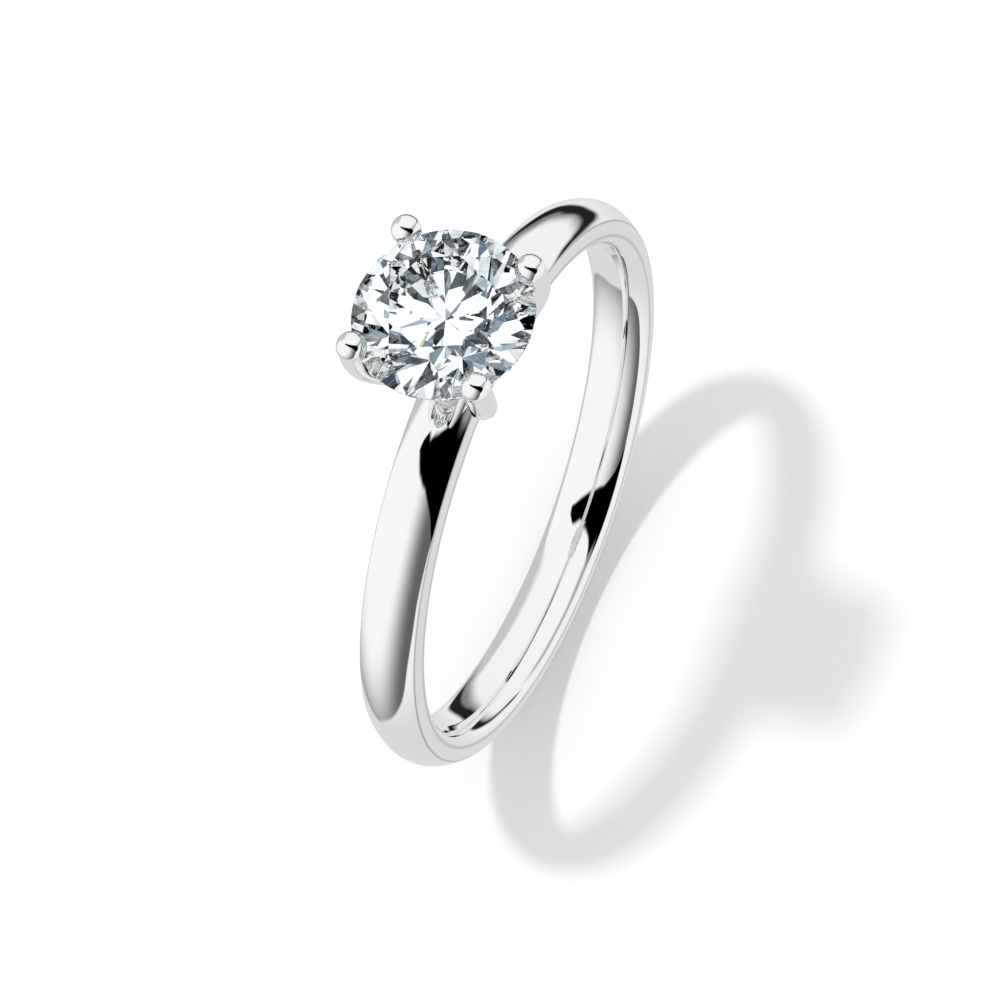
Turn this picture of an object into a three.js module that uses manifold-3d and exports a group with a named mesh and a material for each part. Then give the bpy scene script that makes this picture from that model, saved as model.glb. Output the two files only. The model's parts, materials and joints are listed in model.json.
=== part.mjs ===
// A solitaire engagement ring: a slim domed band, a four-claw tulip head and a round brilliant.
// Millimetres. The finger's bore runs along Y, the stone faces up along +Z, and the origin is the
// bore's centre.
import * as THREE from "three";
import { mergeVertices } from "three/addons/utils/BufferGeometryUtils.js";
import Module from "manifold-3d";

const wasm = await Module();
wasm.setup();

// Band
const BORE_RADIUS = 8.0; // at the crown of the comfort-fit bore's rounded wall
const BORE_ROUNDING = 0.52; // how far the bore opens out from there to its edges
const BAND_HALF_WIDTH = 1.0; // widest, at the edges of the bore
const CREASE_RADIUS = 9.0; // where the flat sides meet the domed back
const CREASE_HALF_WIDTH = 0.94;
const DOME_RISE = 0.42;
const BAND_SEGMENTS = 96;

// Stone, a round brilliant of standard proportions
const STONE_RADIUS = 2.8;
const GIRDLE_HEIGHT = 12.45; // the girdle's middle above the bore's centre
const GIRDLE_THICKNESS = 0.14;
const TABLE_SHARE = 0.57; // table's corner-to-corner size over the diameter
const CROWN_ANGLE = THREE.MathUtils.degToRad(34.5);
const PAVILION_ANGLE = THREE.MathUtils.degToRad(40.8);
const STAR_SHARE = 0.5; // how far the star facets reach from the table to the girdle
const LOWER_HALF_SHARE = 0.78; // how far the lower halves reach from the girdle to the culet
const MAINS = 8; // main facets round the crown, and round the pavilion
const GIRDLE_STEPS = 3; // flats of the girdle along each half facet

// Head
const CLAW_COUNT = 4;
const CLAW_RADIUS = 0.43;
const TIP_RADIUS = 0.47;
const TIP_HEIGHT = 12.9; // the ball tips' centres above the bore's centre
const TIP_REACH = 2.9; // the same, out from the head's axis
const SEAT_RADIUS = 1.0;
const SEAT_BOTTOM = 8.9;
const SEAT_TOP = 9.72;
const SEAT_DISH = 0.2; // clears the culet
const RAIL_RADIUS = 1.72; // the under-rail's centreline
const RAIL_WIRE_RADIUS = 0.3;
const RAIL_HEIGHT = 10.8;

const JOINT_GAP = 0.02; // room for solder, or for setting the stone
const STONE_CLEARANCE = 1.012; // the claws' notches are cut this much larger than the stone

const POLISHED = { color: 0xdcdcda, roughness: 0.06, metalness: 1.0 };
const DIAMOND = { color: 0xf2f7fb, roughness: 0.0, metalness: 0.0 };

// A closed geometry as a solid for cutting and joining.
function solidOf(geometry) {
  const bare = new THREE.BufferGeometry();
  bare.setAttribute("position", geometry.getAttribute("position").clone());
  bare.setIndex(geometry.index);
  const merged = mergeVertices(bare, 1e-4);
  const mesh = {
    numProp: 3,
    vertProperties: new Float32Array(merged.attributes.position.array),
    triVerts: new Uint32Array(merged.index.array),
  };
  return new wasm.Manifold(new wasm.Mesh(mesh));
}

// A solid as a geometry again.
function geometryOf(solid) {
  const mesh = solid.getMesh();
  const geometry = new THREE.BufferGeometry();
  geometry.setAttribute("position", new THREE.BufferAttribute(mesh.vertProperties, 3));
  geometry.setIndex(new THREE.BufferAttribute(mesh.triVerts, 1));
  return geometry;
}

function piece(name, geometry, look) {
  const flat = geometry.index ? geometry.toNonIndexed() : geometry;
  flat.computeVertexNormals();
  const mesh = new THREE.Mesh(flat, new THREE.MeshStandardMaterial(look));
  mesh.name = name;
  return mesh;
}

// The band's section as points of radius and width, going once round: the domed back, a flat side,
// the rounded bore and the other side. grow moves every wall out by that much.
function bandSection(grow = 0) {
  const points = [];
  const domeSteps = 10;
  for (let i = 0; i <= domeSteps; i++) {
    const across = 1 - (2 * i) / domeSteps;
    const radius = CREASE_RADIUS + DOME_RISE * (1 - across * across) + grow;
    points.push(new THREE.Vector2(radius, across * (CREASE_HALF_WIDTH + grow)));
  }
  const boreSteps = 8;
  for (let i = 0; i <= boreSteps; i++) {
    const turn = (i / boreSteps - 0.5) * Math.PI;
    const radius = BORE_RADIUS + BORE_ROUNDING * (1 - Math.cos(turn)) - grow;
    points.push(new THREE.Vector2(radius, Math.sin(turn) * (BAND_HALF_WIDTH + grow)));
  }
  points.push(points[0].clone());
  return points;
}

function bandGeometry(grow = 0) {
  return new THREE.LatheGeometry(bandSection(grow).reverse(), BAND_SEGMENTS);
}

function polar(radius, turn, height) {
  return new THREE.Vector3(radius * Math.cos(turn), radius * Math.sin(turn), height);
}

// The girdle's edge along one half facet: points of the plane through inner, and through the
// girdle at each end of that facet, measured on the stone's outside.
function girdleEdge(inner, edgeHeight) {
  const halfStep = Math.PI / MAINS;
  const start = polar(STONE_RADIUS, 0, edgeHeight);
  const end = polar(STONE_RADIUS, halfStep, edgeHeight);
  const plane = new THREE.Plane().setFromCoplanarPoints(inner, start, end);
  const heights = [];
  for (let i = 0; i <= GIRDLE_STEPS; i++) {
    const at = polar(STONE_RADIUS, (halfStep * i) / GIRDLE_STEPS, 0);
    heights.push(-(plane.constant + plane.normal.dot(at)) / plane.normal.z);
  }
  return heights;
}

// A round brilliant with its girdle's middle at height 0: every facet is one flat polygon.
function brilliantFacets() {
  const step = (2 * Math.PI) / MAINS;
  const half = step / 2;
  const edge = GIRDLE_THICKNESS / 2;
  const tableRadius = STONE_RADIUS * TABLE_SHARE;
  const tableHeight = edge + (STONE_RADIUS - tableRadius) * Math.tan(CROWN_ANGLE);
  const tableMiddle = tableRadius * Math.cos(half);
  const starRadius = tableMiddle + STAR_SHARE * (STONE_RADIUS - tableMiddle);
  const starHeight = edge + (STONE_RADIUS - starRadius * Math.cos(half)) * Math.tan(CROWN_ANGLE);
  const lowerRadius = STONE_RADIUS * (1 - LOWER_HALF_SHARE);
  const lowerHeight = -edge - (STONE_RADIUS - lowerRadius * Math.cos(half)) * Math.tan(PAVILION_ANGLE);
  const culet = new THREE.Vector3(0, 0, -edge - STONE_RADIUS * Math.tan(PAVILION_ANGLE));

  const table = (i) => polar(tableRadius, i * step, tableHeight);
  const star = (i) => polar(starRadius, i * step + half, starHeight);
  const lower = (i) => polar(lowerRadius, i * step + half, lowerHeight);
  const topEdge = girdleEdge(star(0), edge);
  const bottomEdge = girdleEdge(lower(0), -edge);
  const perMain = 2 * GIRDLE_STEPS;
  const onGirdle = (heights, k) => {
    const within = ((k % perMain) + perMain) % perMain;
    const height = heights[Math.min(within, perMain - within)];
    return polar(STONE_RADIUS, (k * half) / GIRDLE_STEPS, height);
  };
  const run = (heights, from) => {
    return [...Array(GIRDLE_STEPS + 1).keys()].map((k) => onGirdle(heights, from + k));
  };

  const facets = [[...Array(MAINS).keys()].map(table)];
  for (let i = 0; i < MAINS; i++) {
    const k = i * perMain;
    facets.push([star(i), table(i + 1), table(i)]);
    facets.push([table(i), star(i - 1), onGirdle(topEdge, k), star(i)]);
    facets.push([culet, lower(i), onGirdle(bottomEdge, k), lower(i - 1)]);
    for (const from of [k, k + GIRDLE_STEPS]) {
      facets.push([star(i), ...run(topEdge, from)]);
      facets.push([lower(i), ...run(bottomEdge, from).reverse()]);
    }
    for (let j = k; j < k + perMain; j++) {
      const low = [onGirdle(bottomEdge, j), onGirdle(bottomEdge, j + 1)];
      facets.push([...low, onGirdle(topEdge, j + 1), onGirdle(topEdge, j)]);
    }
  }
  return facets;
}

function stoneGeometry(scale = 1) {
  const corners = [];
  for (const facet of brilliantFacets()) {
    for (let i = 1; i + 1 < facet.length; i++) {
      corners.push(facet[0], facet[i], facet[i + 1]);
    }
  }
  const geometry = new THREE.BufferGeometry().setFromPoints(corners);
  return geometry.scale(scale, scale, scale).translate(0, 0, GIRDLE_HEIGHT);
}

// The small cup that the claws rise from. It stands astride the band's dome.
function seatGeometry(grow = 0, dish = SEAT_DISH) {
  const profile = [
    new THREE.Vector2(0, SEAT_BOTTOM - grow),
    new THREE.Vector2(SEAT_RADIUS + grow, SEAT_BOTTOM - grow),
    new THREE.Vector2(SEAT_RADIUS + grow, SEAT_TOP + grow),
    new THREE.Vector2(SEAT_RADIUS * 0.8, SEAT_TOP + grow),
    new THREE.Vector2(0, SEAT_TOP + grow - dish),
  ];
  return new THREE.LatheGeometry(profile, 40).rotateX(Math.PI / 2);
}

function railGeometry(grow = 0) {
  const ring = new THREE.TorusGeometry(RAIL_RADIUS, RAIL_WIRE_RADIUS + grow, 10, 48);
  return ring.translate(0, 0, RAIL_HEIGHT);
}

// One claw in the plane of X and Z: a wire that swells out below its ball tip like the side of a
// tulip, then turns in under the stone to the seat.
function clawGeometries() {
  const route = [
    [TIP_REACH, TIP_HEIGHT],
    [2.94, 12.35],
    [2.92, 11.85],
    [2.78, 11.35],
    [2.49, 10.85],
    [2.04, 10.3],
    [1.5, 9.8],
    [0.95, 9.42],
  ];
  const curve = new THREE.CatmullRomCurve3(route.map(([out, up]) => new THREE.Vector3(out, 0, up)));
  const section = new THREE.Shape().absarc(0, 0, CLAW_RADIUS, 0, 2 * Math.PI);
  const options = { steps: 18, curveSegments: 8, extrudePath: curve };
  const wire = new THREE.ExtrudeGeometry(section, options);
  const tip = new THREE.SphereGeometry(TIP_RADIUS, 16, 12).translate(TIP_REACH, 0, TIP_HEIGHT);
  return [wire, tip];
}

function makeBand() {
  return piece("shank", bandGeometry(), POLISHED);
}

function makeSeat() {
  const seat = solidOf(seatGeometry()).subtract(solidOf(bandGeometry(JOINT_GAP)));
  return piece("head_seat", geometryOf(seat), POLISHED);
}

function makeRail() {
  return piece("gallery_rail", railGeometry(), POLISHED);
}

function makeClaws() {
  const neighbours = [
    bandGeometry(JOINT_GAP),
    seatGeometry(JOINT_GAP, 0),
    railGeometry(JOINT_GAP),
    stoneGeometry(STONE_CLEARANCE),
  ].map(solidOf);
  return [...Array(CLAW_COUNT).keys()].map((i) => {
    const turn = ((i + 0.5) * 2 * Math.PI) / CLAW_COUNT;
    const [wire, tip] = clawGeometries().map((geometry) => solidOf(geometry.rotateZ(turn)));
    const claw = neighbours.reduce((rest, other) => rest.subtract(other), wire.add(tip));
    return piece(`claw_${i + 1}`, geometryOf(claw), POLISHED);
  });
}

function makeStone() {
  return piece("diamond", stoneGeometry(), DIAMOND);
}

const ring = new THREE.Group();
ring.add(makeBand(), makeSeat(), makeRail(), ...makeClaws(), makeStone());

export default ring;
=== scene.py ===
import json
from math import cos, pi, radians, sin, sqrt, tan

import bmesh
import bpy
from mathutils import Matrix, Vector


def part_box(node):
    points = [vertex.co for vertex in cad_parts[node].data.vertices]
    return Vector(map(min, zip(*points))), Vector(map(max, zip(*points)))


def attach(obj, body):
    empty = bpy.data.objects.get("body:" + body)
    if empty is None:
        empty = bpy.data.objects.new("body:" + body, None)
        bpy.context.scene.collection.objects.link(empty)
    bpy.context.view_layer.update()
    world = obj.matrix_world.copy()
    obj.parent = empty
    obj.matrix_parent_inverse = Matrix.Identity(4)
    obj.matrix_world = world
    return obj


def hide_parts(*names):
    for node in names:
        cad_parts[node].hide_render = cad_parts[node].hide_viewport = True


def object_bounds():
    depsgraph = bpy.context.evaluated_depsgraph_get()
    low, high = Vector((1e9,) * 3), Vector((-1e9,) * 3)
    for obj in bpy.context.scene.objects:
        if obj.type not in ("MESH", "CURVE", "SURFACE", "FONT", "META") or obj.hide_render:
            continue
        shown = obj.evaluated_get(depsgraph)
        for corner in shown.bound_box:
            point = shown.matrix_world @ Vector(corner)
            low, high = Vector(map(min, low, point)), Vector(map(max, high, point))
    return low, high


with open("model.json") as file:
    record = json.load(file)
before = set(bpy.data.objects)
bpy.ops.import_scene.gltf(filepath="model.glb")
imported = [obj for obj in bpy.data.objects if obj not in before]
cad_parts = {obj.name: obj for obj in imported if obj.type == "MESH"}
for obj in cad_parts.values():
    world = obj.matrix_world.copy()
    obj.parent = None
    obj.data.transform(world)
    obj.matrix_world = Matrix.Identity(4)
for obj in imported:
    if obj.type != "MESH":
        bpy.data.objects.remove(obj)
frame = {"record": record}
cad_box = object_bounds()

# A solitaire engagement ring standing on its band. Lengths are in millimetres, and turned into metres
# where a mesh is made. The finger's bore runs along Y, and the stone faces up along +Z.
MM = 0.001

# Band
BORE_RADIUS = frame["record"]["mounts"][0]["dims"]["r_mm"]
BORE_ROUNDING = 0.52  # how far the crowned bore opens out towards its edges
CREASE_DEPTH = 0.42  # from the crown of the dome in to the crease
CREASE_INSET = 0.06  # from the band's widest place in to the crease
CREASE_SOFTNESS = 0.035
BORE_EDGE_SOFTNESS = 0.1

# Stone, a round brilliant
GIRDLE_THICKNESS = 0.14
TABLE_SHARE = 0.57  # table's corner-to-corner size over the diameter
CROWN_ANGLE = radians(34.5)
PAVILION_ANGLE = radians(40.8)
STAR_SHARE = 0.5  # how far the star facets reach from the table to the girdle
LOWER_HALF_SHARE = 0.78  # how far the lower halves reach from the girdle to the culet
MAINS = 8

# Head
CLAW_COUNT = 4
CLAW_RADIUS = 0.43
TIP_RADIUS = 0.47
SEAT_LIP = 0.05  # rounding of the seat's top edge
SEAT_RIM_SHARE = 0.8  # the dish starts here, as a share of the seat's radius
SEAT_DISH = 0.2
SEAT_DISH_HALF_WAY = 0.7  # share of the dish's depth that is reached half way in
STONE_CLEARANCE = 1.012  # the claws' notches are cut this much larger than the stone

# The claws' route below the ball tip, as distance out from the head's axis and height above the bore.
CLAW_ROUTE = [
    (2.94, 12.35), (2.92, 11.85), (2.78, 11.35), (2.49, 10.85), (2.04, 10.3), (1.5, 9.8), (0.95, 9.42)
]

# Steps of the fine meshes
BAND_SEGMENTS = 480
CUTTER_SEGMENTS = 240
DOME_STEPS = 28
BORE_STEPS = 40
GIRDLE_STEPS = 6  # flats of the girdle along each half facet
WIRE_SIDES = 32
RAIL_SEGMENTS = 160
BALL_SEGMENTS = 64
BALL_STEPS = 40
SEAT_SEGMENTS = 128
LIP_STEPS = 6
SHARP_ANGLE = radians(35)
MERGE_DISTANCE = 1e-5


def box_mm(node):
    """A CAD node's lowest and highest corner in millimetres."""
    low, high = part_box(node)
    return low / MM, high / MM


def mesh_of(name, points, faces):
    """A smooth-shaded mesh."""
    mesh = bpy.data.meshes.new(name)
    mesh.from_pydata([tuple(p) for p in points], [], faces)
    mesh.polygons.foreach_set("use_smooth", [True] * len(faces))
    mesh.update()
    return mesh


def place(item):
    """Adds an object to the scene."""
    bpy.context.scene.collection.objects.link(item)
    return item


def finish_piece(name, mesh, node_name, material):
    """Turns a mesh in millimetres into a piece that rides on the ring and stands for its CAD node."""
    mesh.transform(Matrix.Scale(MM, 4))
    mesh.materials.append(material)
    piece = place(bpy.data.objects.new(name, mesh))
    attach(piece, "root")
    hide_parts(node_name)


# ---------------------------------------------------------------- camera
CAMERA_DISTANCE = 181.8
CAMERA_BACK = Vector((0.3143, 0.3016, 0.9001))  # from the ring towards the camera
CAMERA_RIGHT = Vector((-0.3938, 0.9042, -0.1654))
CAMERA_AIM = Vector((0.525, -0.359, -0.063))
LENS = 207.9
SENSOR_WIDTH = 36
CLIP_START, CLIP_END = 0.001, 10  # metres


def make_camera():
    back = CAMERA_BACK.normalized()
    right = (CAMERA_RIGHT - back * CAMERA_RIGHT.dot(back)).normalized()
    up = back.cross(right)
    camera = place(bpy.data.objects.new("camera", bpy.data.cameras.new("camera")))
    turn = Matrix((right, up, back)).transposed().to_4x4()
    camera.matrix_world = Matrix.Translation((CAMERA_AIM + back * CAMERA_DISTANCE) * MM) @ turn
    camera.data.lens = LENS
    camera.data.sensor_width = SENSOR_WIDTH
    camera.data.clip_start = CLIP_START
    camera.data.clip_end = CLIP_END
    bpy.context.scene.camera = camera


# ---------------------------------------------------------------- band
def softened(points, i, softness, steps=8):
    """The corner at points[i] as a short round arc."""
    corner = points[i]
    into = (points[i - 1] - corner).normalized()
    out = (points[(i + 1) % len(points)] - corner).normalized()
    start = corner + into * softness
    end = corner + out * softness
    arc = []
    for k in range(steps + 1):
        t = k / steps
        arc.append(start * (1 - t) ** 2 + corner * 2 * t * (1 - t) + end * t ** 2)
    return arc


def band_section():
    """The band's section as radius and width: the dome, a flat side, the crowned bore, a flat side."""
    _, high = box_mm("shank")
    crown, half_width = high.x, high.y
    crease_radius = crown - CREASE_DEPTH
    crease_half = half_width - CREASE_INSET
    section = []
    for i in range(DOME_STEPS + 1):
        across = 1 - 2 * i / DOME_STEPS
        radius = crease_radius + CREASE_DEPTH * (1 - across * across)
        section.append(Vector((radius, across * crease_half)))
    for i in range(BORE_STEPS + 1):
        turn = (i / BORE_STEPS - 0.5) * pi
        radius = BORE_RADIUS + BORE_ROUNDING * (1 - cos(turn))
        section.append(Vector((radius, half_width * sin(turn))))
    softness = {0: CREASE_SOFTNESS, DOME_STEPS: CREASE_SOFTNESS}
    softness |= {DOME_STEPS + 1: BORE_EDGE_SOFTNESS, len(section) - 1: BORE_EDGE_SOFTNESS}
    soft_section = []
    for i, point in enumerate(section):
        if i in softness:
            soft_section += softened(section, i, softness[i])
        elif all((point - section[k]).length > softness[k] for k in softness):
            soft_section.append(point)
    return soft_section


def hoop(name, rings):
    """A tube through closed rings of points, the last of which joins the first."""
    n = len(rings[0])
    faces = []
    for i in range(len(rings)):
        a, b = i * n, (i + 1) % len(rings) * n
        for k in range(n):
            j = (k + 1) % n
            faces.append((a + k, b + k, b + j, a + j))
    return mesh_of(name, [point for ring in rings for point in ring], faces)


def band_mesh(name, segments):
    section = band_section()
    turns = [2 * pi * i / segments for i in range(segments)]
    return hoop(name, [[(p.x * sin(turn), p.y, p.x * cos(turn)) for p in section] for turn in turns])


def make_band(material):
    finish_piece("band", band_mesh("band", BAND_SEGMENTS), "shank", material)


# ---------------------------------------------------------------- stone
def polar(radius, turn, height):
    return Vector((radius * cos(turn), radius * sin(turn), height))


def brilliant_facets(stone_radius):
    """A round brilliant with its girdle's middle at height 0, as flat polygons facing out."""
    step = 2 * pi / MAINS
    half = step / 2
    edge = GIRDLE_THICKNESS / 2
    table_radius = stone_radius * TABLE_SHARE
    table_height = edge + (stone_radius - table_radius) * tan(CROWN_ANGLE)
    table_middle = table_radius * cos(half)
    star_radius = table_middle + STAR_SHARE * (stone_radius - table_middle)
    star_height = edge + (stone_radius - star_radius * cos(half)) * tan(CROWN_ANGLE)
    lower_radius = stone_radius * (1 - LOWER_HALF_SHARE)
    lower_height = -edge - (stone_radius - lower_radius * cos(half)) * tan(PAVILION_ANGLE)
    culet = Vector((0, 0, -edge - stone_radius * tan(PAVILION_ANGLE)))

    def table(i):
        return polar(table_radius, i * step, table_height)

    def star(i):
        return polar(star_radius, i * step + half, star_height)

    def lower(i):
        return polar(lower_radius, i * step + half, lower_height)

    def girdle_heights(inner, edge_height):
        """Heights on the girdle of the plane through inner and through the ends of one half facet."""
        start = polar(stone_radius, 0, edge_height)
        end = polar(stone_radius, half, edge_height)
        normal = (start - inner).cross(end - inner)
        heights = []
        for k in range(GIRDLE_STEPS + 1):
            at = polar(stone_radius, half * k / GIRDLE_STEPS, 0)
            heights.append(inner.z - (at - inner).to_2d().dot(normal.to_2d()) / normal.z)
        return heights

    top_edge = girdle_heights(star(0), edge)
    bottom_edge = girdle_heights(lower(0), -edge)
    per_main = 2 * GIRDLE_STEPS

    def on_girdle(heights, k):
        within = k % per_main
        height = heights[min(within, per_main - within)]
        return polar(stone_radius, k * half / GIRDLE_STEPS, height)

    def run(heights, start):
        return [on_girdle(heights, start + k) for k in range(GIRDLE_STEPS + 1)]

    facets = [[table(i) for i in range(MAINS)]]
    for i in range(MAINS):
        k = i * per_main
        facets.append([star(i), table(i + 1), table(i)])
        facets.append([table(i), star(i - 1), on_girdle(top_edge, k), star(i)])
        facets.append([culet, lower(i), on_girdle(bottom_edge, k), lower(i - 1)])
        for start in (k, k + GIRDLE_STEPS):
            facets.append([star(i), *run(top_edge, start)])
            facets.append([lower(i), *run(bottom_edge, start)[::-1]])
        for j in range(k, k + per_main):
            low = [on_girdle(bottom_edge, j), on_girdle(bottom_edge, j + 1)]
            facets.append([*low, on_girdle(top_edge, j + 1), on_girdle(top_edge, j)])
    return facets


def stone_mesh(name, scale=1.0):
    """The stone in its place, with flat facets. A scale over 1 makes it a cutter."""
    low, high = box_mm("diamond")
    radius = high.x
    depth = GIRDLE_THICKNESS / 2 + radius * tan(PAVILION_ANGLE)
    middle = Vector((0, 0, low.z + depth))
    shape = bmesh.new()
    for facet in brilliant_facets(radius):
        shape.faces.new([shape.verts.new(p * scale + middle) for p in facet])
    bmesh.ops.remove_doubles(shape, verts=shape.verts, dist=MERGE_DISTANCE)
    mesh = bpy.data.meshes.new(name)
    shape.to_mesh(mesh)
    shape.free()
    return mesh


def make_stone(material):
    finish_piece("stone", stone_mesh("stone"), "diamond", material)


# ---------------------------------------------------------------- head
def surface_of_turn(name, profile, segments):
    """A profile of radius and height, from the axis to the axis, turned about Z."""
    points, rings = [], []
    for radius, height in profile:
        count = segments if radius else 1
        rings.append([len(points) + k for k in range(count)])
        points += [polar(radius, 2 * pi * k / count, height) for k in range(count)]
    faces = []
    for lower, upper in zip(rings, rings[1:]):
        for k in range(segments):
            j = (k + 1) % segments
            corners = [lower[k % len(lower)], lower[j % len(lower)]]
            corners += [upper[j % len(upper)], upper[k % len(upper)]]
            faces.append(list(dict.fromkeys(corners)))
    return mesh_of(name, points, faces)


def tube(name, route, radius):
    """A closed round wire along a route in the plane of X and Z, with flat ends."""
    points, faces = [], []
    across = Vector((0, 1, 0))
    last = len(route) - 1
    for i, middle in enumerate(route):
        along = (route[min(i + 1, last)] - route[max(i - 1, 0)]).normalized()
        outward = across.cross(along)
        for k in range(WIRE_SIDES):
            turn = 2 * pi * k / WIRE_SIDES
            points.append(middle + radius * (across * cos(turn) + outward * sin(turn)))
    for i in range(last):
        a, b = i * WIRE_SIDES, (i + 1) * WIRE_SIDES
        for k in range(WIRE_SIDES):
            j = (k + 1) % WIRE_SIDES
            faces.append((a + k, a + j, b + j, b + k))
    faces.append(tuple(range(WIRE_SIDES))[::-1])
    faces.append(tuple(last * WIRE_SIDES + k for k in range(WIRE_SIDES)))
    return mesh_of(name, points, faces)


def smooth_route(points, steps=10):
    """A Catmull-Rom curve through the points."""
    padded = [2 * points[0] - points[1], *points, 2 * points[-1] - points[-2]]
    route = []
    for a, b, c, d in zip(padded, padded[1:], padded[2:], padded[3:]):
        for k in range(steps):
            t = k / steps
            bend = 2 * b + (c - a) * t + (2 * a - 5 * b + 4 * c - d) * t ** 2
            route.append((bend + (3 * b - a - 3 * c + d) * t ** 3) / 2)
    return route + [points[-1]]


def boolean(piece, other, operation):
    """Joins another object to a piece or cuts it away, for good."""
    step = piece.modifiers.new(operation.lower(), "BOOLEAN")
    step.operation = operation
    step.object = other
    step.solver = "EXACT"
    bpy.context.view_layer.update()
    graph = bpy.context.evaluated_depsgraph_get()
    made = bpy.data.meshes.new_from_object(piece.evaluated_get(graph))
    piece.modifiers.clear()
    piece.data = made


def scratch(mesh):
    """A mesh as an object that only serves to cut or join."""
    return place(bpy.data.objects.new(mesh.name, mesh))


def taken(item):
    """A scratch object's mesh, with its sharp edges marked. The object itself is removed."""
    mesh = item.data
    bpy.data.objects.remove(item)
    mesh.set_sharp_from_angle(angle=SHARP_ANGLE)
    return mesh


def make_rail(material):
    low, high = box_mm("gallery_rail")
    wire = (high.z - low.z) / 2
    height = (high.z + low.z) / 2
    middle = high.x - wire
    section = []
    for k in range(WIRE_SIDES):
        turn = 2 * pi * k / WIRE_SIDES
        section.append((middle + wire * cos(turn), height + wire * sin(turn)))
    turns = [2 * pi * i / RAIL_SEGMENTS for i in range(RAIL_SEGMENTS)]
    mesh = hoop("under_rail", [[polar(radius, turn, up) for radius, up in section] for turn in turns])
    finish_piece("under_rail", mesh, "gallery_rail", material)


def claw_meshes():
    """A claw's wire and its ball tip, in the plane of X and Z."""
    _, high = box_mm("claw_1")
    reach = (high.x - TIP_RADIUS) * sqrt(2)  # the claw stands at 45 degrees to X and Y
    tip = Vector((reach, 0, high.z - TIP_RADIUS))
    route = smooth_route([tip] + [Vector((out, 0, up)) for out, up in CLAW_ROUTE])
    wire = tube("claw_wire", route, CLAW_RADIUS)
    profile = [(0, -TIP_RADIUS)]
    for k in range(1, BALL_STEPS):
        turn = pi * k / BALL_STEPS - pi / 2
        profile.append((TIP_RADIUS * cos(turn), TIP_RADIUS * sin(turn)))
    profile.append((0, TIP_RADIUS))
    ball = surface_of_turn("claw_ball", profile, BALL_SEGMENTS)
    ball.transform(Matrix.Translation(tip))
    return wire, ball


def make_claws(material):
    stone = scratch(stone_mesh("stone_cutter", STONE_CLEARANCE))
    band = scratch(band_mesh("band_cutter", CUTTER_SEGMENTS))
    for i in range(CLAW_COUNT):
        wire, ball = claw_meshes()
        turn = Matrix.Rotation((i + 0.5) * 2 * pi / CLAW_COUNT, 4, "Z")
        wire.transform(turn)
        ball.transform(turn)
        claw = scratch(wire)
        tip = scratch(ball)
        boolean(claw, tip, "UNION")
        boolean(claw, stone, "DIFFERENCE")
        boolean(claw, band, "DIFFERENCE")
        bpy.data.objects.remove(tip)
        name = f"claw_{i + 1}"
        finish_piece(f"{name}_fine", taken(claw), name, material)
    bpy.data.objects.remove(stone)
    bpy.data.objects.remove(band)


def make_seat(material):
    low, high = box_mm("head_seat")
    radius, top = high.x, high.z
    profile = [(0, low.z), (radius, low.z)]
    for k in range(LIP_STEPS + 1):
        turn = k / LIP_STEPS * pi / 2
        profile.append((radius + SEAT_LIP * (cos(turn) - 1), top + SEAT_LIP * (sin(turn) - 1)))
    profile.append((radius * SEAT_RIM_SHARE, top))
    profile.append((radius * SEAT_RIM_SHARE / 2, top - SEAT_DISH * SEAT_DISH_HALF_WAY))
    profile.append((0, top - SEAT_DISH))
    seat = scratch(surface_of_turn("seat", profile, SEAT_SEGMENTS))
    band = scratch(band_mesh("band_cutter", CUTTER_SEGMENTS))
    boolean(seat, band, "DIFFERENCE")
    bpy.data.objects.remove(band)
    finish_piece("seat_cup", taken(seat), "head_seat", material)


# ---------------------------------------------------------------- node trees
class Graph:
    """The nodes of a material or of the world. A value here is a constant or another node's output."""

    def __init__(self, tree):
        self.nodes = tree.nodes
        self.links = tree.links

    def feed(self, socket, value):
        """Links a value to a socket, or sets it there."""
        if isinstance(value, bpy.types.NodeSocket):
            self.links.new(value, socket)
        else:
            socket.default_value = value

    def worked_out(self, kind, operation, values):
        """The outputs of a node whose operation works on the values."""
        step = self.nodes.new(kind)
        step.operation = operation
        for socket, value in zip(step.inputs, values):
            self.feed(socket, value)
        return step.outputs

    def maths(self, operation, *values):
        return self.worked_out("ShaderNodeMath", operation, values)["Value"]

    def vector(self, operation, *values):
        """A vector worked out from vectors."""
        return self.worked_out("ShaderNodeVectorMath", operation, values)["Vector"]

    def measure(self, operation, *values):
        """A number worked out from vectors."""
        return self.worked_out("ShaderNodeVectorMath", operation, values)["Value"]

    def ranged(self, value, low, high):
        """A value from 0 to 1 turned to one from low to high."""
        step = self.nodes.new("ShaderNodeMapRange")
        self.feed(step.inputs["Value"], value)
        step.inputs["To Min"].default_value = low
        step.inputs["To Max"].default_value = high
        return step.outputs["Result"]

    def smooth_step(self, value, start, end, low=0, high=1):
        """From low to high, smoothly, while the value goes from start to end."""
        result = self.ranged(value, low, high)
        step = result.node
        step.interpolation_type = "SMOOTHSTEP"
        step.inputs["From Min"].default_value = start
        step.inputs["From Max"].default_value = end
        return result

    def mixed(self, share, first, second, kind="RGBA"):
        """Between two colours, or two numbers where kind is FLOAT, by a share from 0 to 1."""
        mix = self.nodes.new("ShaderNodeMix")
        mix.data_type = kind
        for name, value in (("Factor", share), ("A", first), ("B", second)):
            self.feed(mix.inputs[name], value)
        return mix.outputs["Result"]

    def noise(self, scale, detail):
        """Fine noise fixed to the piece. The scale is in features per metre."""
        texture = self.nodes.new("ShaderNodeTexNoise")
        texture.inputs["Scale"].default_value = scale
        texture.inputs["Detail"].default_value = detail
        self.feed(texture.inputs["Vector"], self.coordinates("Object"))
        return texture.outputs["Fac"]

    def coordinates(self, kind):
        return self.nodes.new("ShaderNodeTexCoord").outputs[kind]


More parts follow.
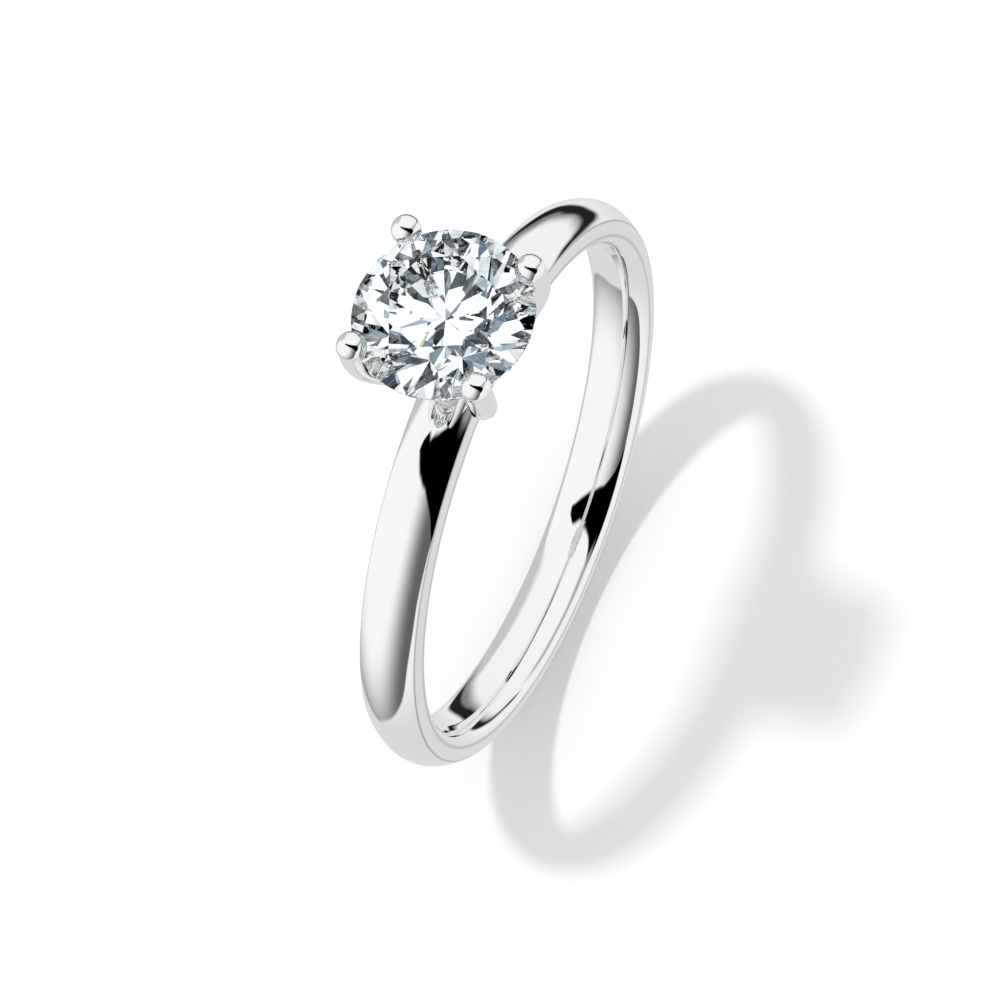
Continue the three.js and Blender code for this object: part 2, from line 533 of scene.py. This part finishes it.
def grey(level):
    return level, level, level, 1


# ---------------------------------------------------------------- materials
METAL_COLOURS = (0.87, 0.87, 0.865, 1), (0.9, 0.9, 0.895, 1)
METAL_ROUGHNESS = 0.015, 0.055
BUMP_STRENGTH = 0.05
BUMP_HEIGHT = 0.00002  # metres
HAZE = 400, 4  # a noise's features per metre, and its levels of detail
POLISH = 900, 3
# Painted shade: thin darker lines in the metal's colour along the creases and the bore's rims stand in
# for shade there.
PAINTED_CREASE_SHADE = 0.42
PAINTED_CREASE_SHADE_REACH = 0.045  # half the width of the painted shade, a darker line in the colour along the crease
PAINTED_RIM_SHADE = 0.6
PAINTED_RIM_SHADE_REACH = 0.1  # the same for the painted shade at the bore's rims
DIAMOND_COLOURS = (0.95, 0.985, 1, 1), (0.985, 1, 1, 1)
DIAMOND_INDEX = 2.417
TINT = 900, 2


def new_material(name):
    """A material with its graph and its shader's inputs."""
    material = bpy.data.materials.new(name)
    material.use_nodes = True
    graph = Graph(material.node_tree)
    return material, graph, graph.nodes["Principled BSDF"].inputs


def near_radius(graph, radius, reach):
    """1 at this distance from the bore's axis, fading to 0 at the reach on either side of it."""
    across = graph.vector("MULTIPLY", graph.coordinates("Object"), (1, 0, 1))
    past = graph.maths("SUBTRACT", graph.measure("LENGTH", across), radius * MM)
    return graph.smooth_step(graph.maths("ABSOLUTE", past), 0, reach * MM, 1, 0)


def platinum():
    """A mirror polish with the faint haze and the hair-fine bumps that a buffing wheel leaves, and
    painted shade: darker lines in the colour along the creases and the bore's rims.
    """
    material, graph, inputs = new_material("polished_platinum")
    inputs["Metallic"].default_value = 1
    haze = graph.noise(*HAZE)
    # Painted shade along the creases and the bore's rims, mixed into the colour below.
    crease = near_radius(graph, box_mm("shank")[1].x - CREASE_DEPTH, PAINTED_CREASE_SHADE_REACH)
    rim = near_radius(graph, BORE_RADIUS + BORE_ROUNDING, PAINTED_RIM_SHADE_REACH)
    colour = graph.mixed(haze, *METAL_COLOURS)
    colour = graph.mixed(crease, colour, grey(PAINTED_CREASE_SHADE))
    graph.feed(inputs["Base Color"], graph.mixed(rim, colour, grey(PAINTED_RIM_SHADE)))
    graph.feed(inputs["Roughness"], graph.ranged(haze, *METAL_ROUGHNESS))
    bump = graph.nodes.new("ShaderNodeBump")
    bump.inputs["Strength"].default_value = BUMP_STRENGTH
    bump.inputs["Distance"].default_value = BUMP_HEIGHT
    graph.feed(bump.inputs["Height"], graph.noise(*POLISH))
    graph.feed(inputs["Normal"], bump.outputs["Normal"])
    return material


def diamond():
    """Clear stone with a trace of cool body colour."""
    material, graph, inputs = new_material("diamond")
    inputs["Transmission Weight"].default_value = 1
    inputs["IOR"].default_value = DIAMOND_INDEX
    inputs["Roughness"].default_value = 0
    graph.feed(inputs["Base Color"], graph.mixed(graph.noise(*TINT), *DIAMOND_COLOURS))
    return material


# ---------------------------------------------------------------- floor
FLOOR_REACH = 0.5  # metres each way from the ring
FLOOR_SHADES = 0.8, 0.808
FLOOR_GRAIN = 300, 3


def make_floor():
    low, _ = cad_box
    corners = [(x * FLOOR_REACH, y * FLOOR_REACH, low.z) for x, y in ((-1, -1), (1, -1), (1, 1), (-1, 1))]
    floor = place(bpy.data.objects.new("floor", mesh_of("floor", corners, [(0, 1, 2, 3)])))
    material, graph, inputs = new_material("floor_card")
    graph.feed(inputs["Base Color"], graph.mixed(graph.noise(*FLOOR_GRAIN), *map(grey, FLOOR_SHADES)))
    inputs["Roughness"].default_value = 1
    inputs["Specular IOR Level"].default_value = 0
    floor.data.materials.append(material)
    floor.visible_glossy = False


# ---------------------------------------------------------------- studio
# Soft boxes and black flags round the ring, painted in this order over a pale tent. Each one lies between
# two smooth outlines, whose points are bearings: degrees round from +X, and degrees up from level. The
# softness is the width of its edge in degrees, and facing is a bearing near its middle: the curves of its
# outlines start and end opposite that. The front box fades across, so its brightness is worked out below.
CARDS = {
    "overhead_flag": {
        "brightness": 0, "softness": 4, "facing": 20,
        "top": [
            (-68, 56), (-63, 68), (-30, 75), (0, 79), (58, 73), (75, 65), (88, 54), (98, 41), (103, 32)
        ],
        "bottom": [(-68, 56), (-60, 50), (-48, 50), (21, 50), (59, 10), (70, 11), (98, 24), (103, 32)],
    },
    "front_box": {
        "brightness": None, "softness": 3, "facing": -20,
        "top": [
            (-101, 0), (-96, 28), (-85, 40), (-70, 49), (-50, 58), (-12, 62), (5, 61), (21, 57.5),
            (36, 52), (43, 46.5), (49, 40), (54, 33), (59, 22), (61, 11)
        ],
        "bottom": [
            (-101, 0), (-97, -35), (-88, -52), (-74, -56), (-52, -55), (-32, -51), (1, -44), (13, -40.5),
            (25, -35), (36, -22), (43, -12), (49, -1), (61, 11)
        ],
    },
    "left_shade": {
        "brightness": 0.55, "softness": 24, "facing": -115,
        "top": [(-142, -10), (-125, 26), (-108, 32), (-97, 10), (-88, -25), (-82, -48)],
        "bottom": [(-142, -10), (-130, -48), (-112, -60), (-95, -56), (-82, -48)],
    },
    "rear_shade": {
        "brightness": 0.36, "softness": 16, "facing": 125,
        "top": [(90, 35), (98, 41), (120, 30), (138, 16), (146, 8)],
        "bottom": [(90, 35), (97, 27), (120, 16), (138, 6), (146, 8)],
    },
    "low_shade": {
        "brightness": 0.22, "softness": 14, "facing": 190,
        "top": [
            (150, -12), (165, -16), (176, -16), (192, -12), (202, -12), (211, -11), (219, -14), (236, -26)
        ],
        "bottom": [
            (150, -12), (165, -26), (176, -30), (192, -29), (202, -30), (211, -31), (219, -30), (236, -26)
        ],
    },
    "low_flag": {
        "brightness": 0.015, "softness": 5, "facing": 190,
        "top": [
            (141, -4), (146, -3), (151, -4.5), (158, -12), (166, -19), (172, -21), (178, -21), (185, -19),
            (192, -18), (200, -21), (208, -22), (214, -22), (222, -24), (232, -30)
        ],
        "bottom": [
            (141, -4), (146, -9), (151, -11), (158, -18), (165, -26), (170, -31), (176, -33), (184, -31),
            (195, -31), (205, -33), (214, -35), (222, -33), (232, -30)
        ],
    },
}
FRONT_DARK = 0.12
FRONT_BRIGHT = 0.93
FRONT_FADE = Vector((0.51, -0.87, 0.54))  # the front box is brightest this way
FRONT_OFFSET = 0.216
TENT_FLOOR = 0.68
TENT_WALL = 0.88
TENT_TOP = 0.92
TENT_STEP = -0.9, -0.4  # the floor turns to wall between these heights, sines of the angle up
STUDIO_STRENGTH = 1.12

# What the stone's facets pick up: each patch of sky has one of these colours, from the share given first.
SPARKLE = [
    (0, (0, 0, 0)), (0.13, (0.02, 0.03, 0.04)), (0.23, (0.06, 0.09, 0.12)), (0.33, (0.18, 0.27, 0.34)),
    (0.42, (0.48, 0.6, 0.68)), (0.52, (1.0, 1.07, 1.1)), (0.62, (1.4, 1.44, 1.46)),
    (0.985, (0.8, 0.66, 0.45))
]
SPARKLE_SCALE = 7
SPARKLE_SHIFT = (3, 0, 0)  # picks another part of the pattern of patches
STONE_SHADE = 0.92  # how much of the plain reflection off the stone's outside is kept away
STONE_BOUNCES = 14

FLOOR_FILL = 0.98  # the even light on the floor
SUN_STRENGTH = 1.15
SUN_WIDTH = radians(5)
SUN_WAY = Vector((-0.05, 0.38, -1))


def crossed(points, step, shift):
    """An outline with both ends led past the other one's, so that the card has no tail beyond them."""
    (start, start_height), (end, end_height) = points[0], points[-1]
    return [(start - step, start_height + shift), *points, (end + step, end_height + shift)]


def outline(graph, turn, facing, points):
    """Height up the sky as a smooth function of the way round it, both as shares from 0 to 1."""
    curve = graph.nodes.new("ShaderNodeFloatCurve")
    line = curve.mapping.curves[0]
    while len(line.points) < len(points):
        line.points.new(1, 1)
    for point, (angle, height) in zip(line.points, points):
        point.location = (angle - facing + 180) / 360, (height + 90) / 180
        point.handle_type = "AUTO_CLAMPED"
    curve.mapping.update()
    graph.feed(curve.inputs["Value"], turn)
    return curve.outputs["Value"]


def inside(graph, card, around, up):
    """1 between a card's two outlines and 0 outside them."""
    facing = card["facing"]
    half = card["softness"] / 2
    turn = graph.maths("FRACT", graph.maths("ADD", around, 0.5 - facing / 360))
    top = outline(graph, turn, facing, crossed(card["top"], half, -half))
    bottom = outline(graph, turn, facing, crossed(card["bottom"], half, half))
    edge = half / 180
    below = graph.smooth_step(graph.maths("SUBTRACT", top, up), -edge, edge)
    above = graph.smooth_step(graph.maths("SUBTRACT", up, bottom), -edge, edge)
    return graph.maths("MULTIPLY", below, above)


def metal_surroundings(graph, direction):
    """The tent, soft boxes and flags that the polished metal reflects."""
    east, north, height = (graph.measure("DOT_PRODUCT", direction, axis) for axis in Matrix.Identity(3))
    around = graph.maths("DIVIDE", graph.maths("ARCTAN2", north, east), 2 * pi)
    up = graph.maths("ADD", graph.maths("DIVIDE", graph.maths("ARCSINE", height), pi), 0.5)
    wall = graph.smooth_step(height, *TENT_STEP, TENT_FLOOR, TENT_WALL)
    light = graph.maths("ADD", wall, graph.smooth_step(height, 0, 1, 0, TENT_TOP - TENT_WALL))
    fade = graph.maths("ADD", graph.measure("DOT_PRODUCT", direction, FRONT_FADE), FRONT_OFFSET)
    front = graph.smooth_step(fade, 0, 1, FRONT_DARK, FRONT_BRIGHT)
    for name, card in CARDS.items():
        brightness = front if card["brightness"] is None else card["brightness"]
        light = graph.mixed(inside(graph, card, around, up), light, brightness, "FLOAT")
        light.node.label = name
    return graph.maths("MULTIPLY", light, STUDIO_STRENGTH)


def stone_surroundings(graph, direction, reflected):
    """The bright, steel-blue and black patches that the stone's facets pick up."""
    cells = graph.nodes.new("ShaderNodeTexVoronoi")
    cells.inputs["Scale"].default_value = SPARKLE_SCALE
    graph.feed(cells.inputs["Vector"], graph.vector("ADD", direction, SPARKLE_SHIFT))
    parts = graph.nodes.new("ShaderNodeSeparateColor")
    graph.feed(parts.inputs["Color"], cells.outputs["Color"])
    ramp = graph.nodes.new("ShaderNodeValToRGB")
    ramp.color_ramp.interpolation = "CONSTANT"
    stops = ramp.color_ramp.elements
    while len(stops) < len(SPARKLE):
        stops.new(1)
    for stop, (share, colour) in zip(stops, SPARKLE):
        stop.position = share
        stop.color = (*colour, 1)
    graph.feed(ramp.inputs["Fac"], parts.outputs["Red"])
    shaded = graph.maths("MULTIPLY", reflected, STONE_SHADE)
    return graph.mixed(shaded, ramp.outputs["Color"], grey(0))


def make_studio():
    """The surroundings. The metal, the stone, the floor and the camera each meet their own."""
    world = bpy.data.worlds.new("studio")
    bpy.context.scene.world = world
    world.use_nodes = True
    world.cycles.sampling_method = "NONE"  # so that the kinds of ray below are told apart
    graph = Graph(world.node_tree)
    direction = graph.coordinates("Generated")
    rays = graph.nodes.new("ShaderNodeLightPath").outputs
    stone = stone_surroundings(graph, direction, rays["Is Reflection Ray"])
    colour = graph.mixed(rays["Is Singular Ray"], metal_surroundings(graph, direction), stone)
    colour = graph.mixed(rays["Is Diffuse Ray"], colour, grey(FLOOR_FILL))
    colour = graph.mixed(rays["Is Camera Ray"], colour, grey(1))
    graph.feed(graph.nodes["Background"].inputs["Color"], colour)


def make_sun():
    sun = place(bpy.data.objects.new("sun", bpy.data.lights.new("sun", "SUN")))
    sun.data.energy = SUN_STRENGTH
    sun.data.angle = SUN_WIDTH
    sun.rotation_mode = "QUATERNION"
    sun.rotation_quaternion = SUN_WAY.to_track_quat("-Z", "Y")
    sun.visible_glossy = False


def allow_bounces():
    """Lets light go round inside the stone until it comes out."""
    cycles = bpy.context.scene.cycles
    cycles.max_bounces = STONE_BOUNCES
    cycles.glossy_bounces = STONE_BOUNCES
    cycles.transmission_bounces = STONE_BOUNCES


make_camera()
metal = platinum()
make_band(metal)
make_seat(metal)
make_rail(metal)
make_claws(metal)
make_stone(diamond())
make_floor()
make_studio()
make_sun()
allow_bounces()
bpy.context.scene.view_settings.view_transform = "Standard"
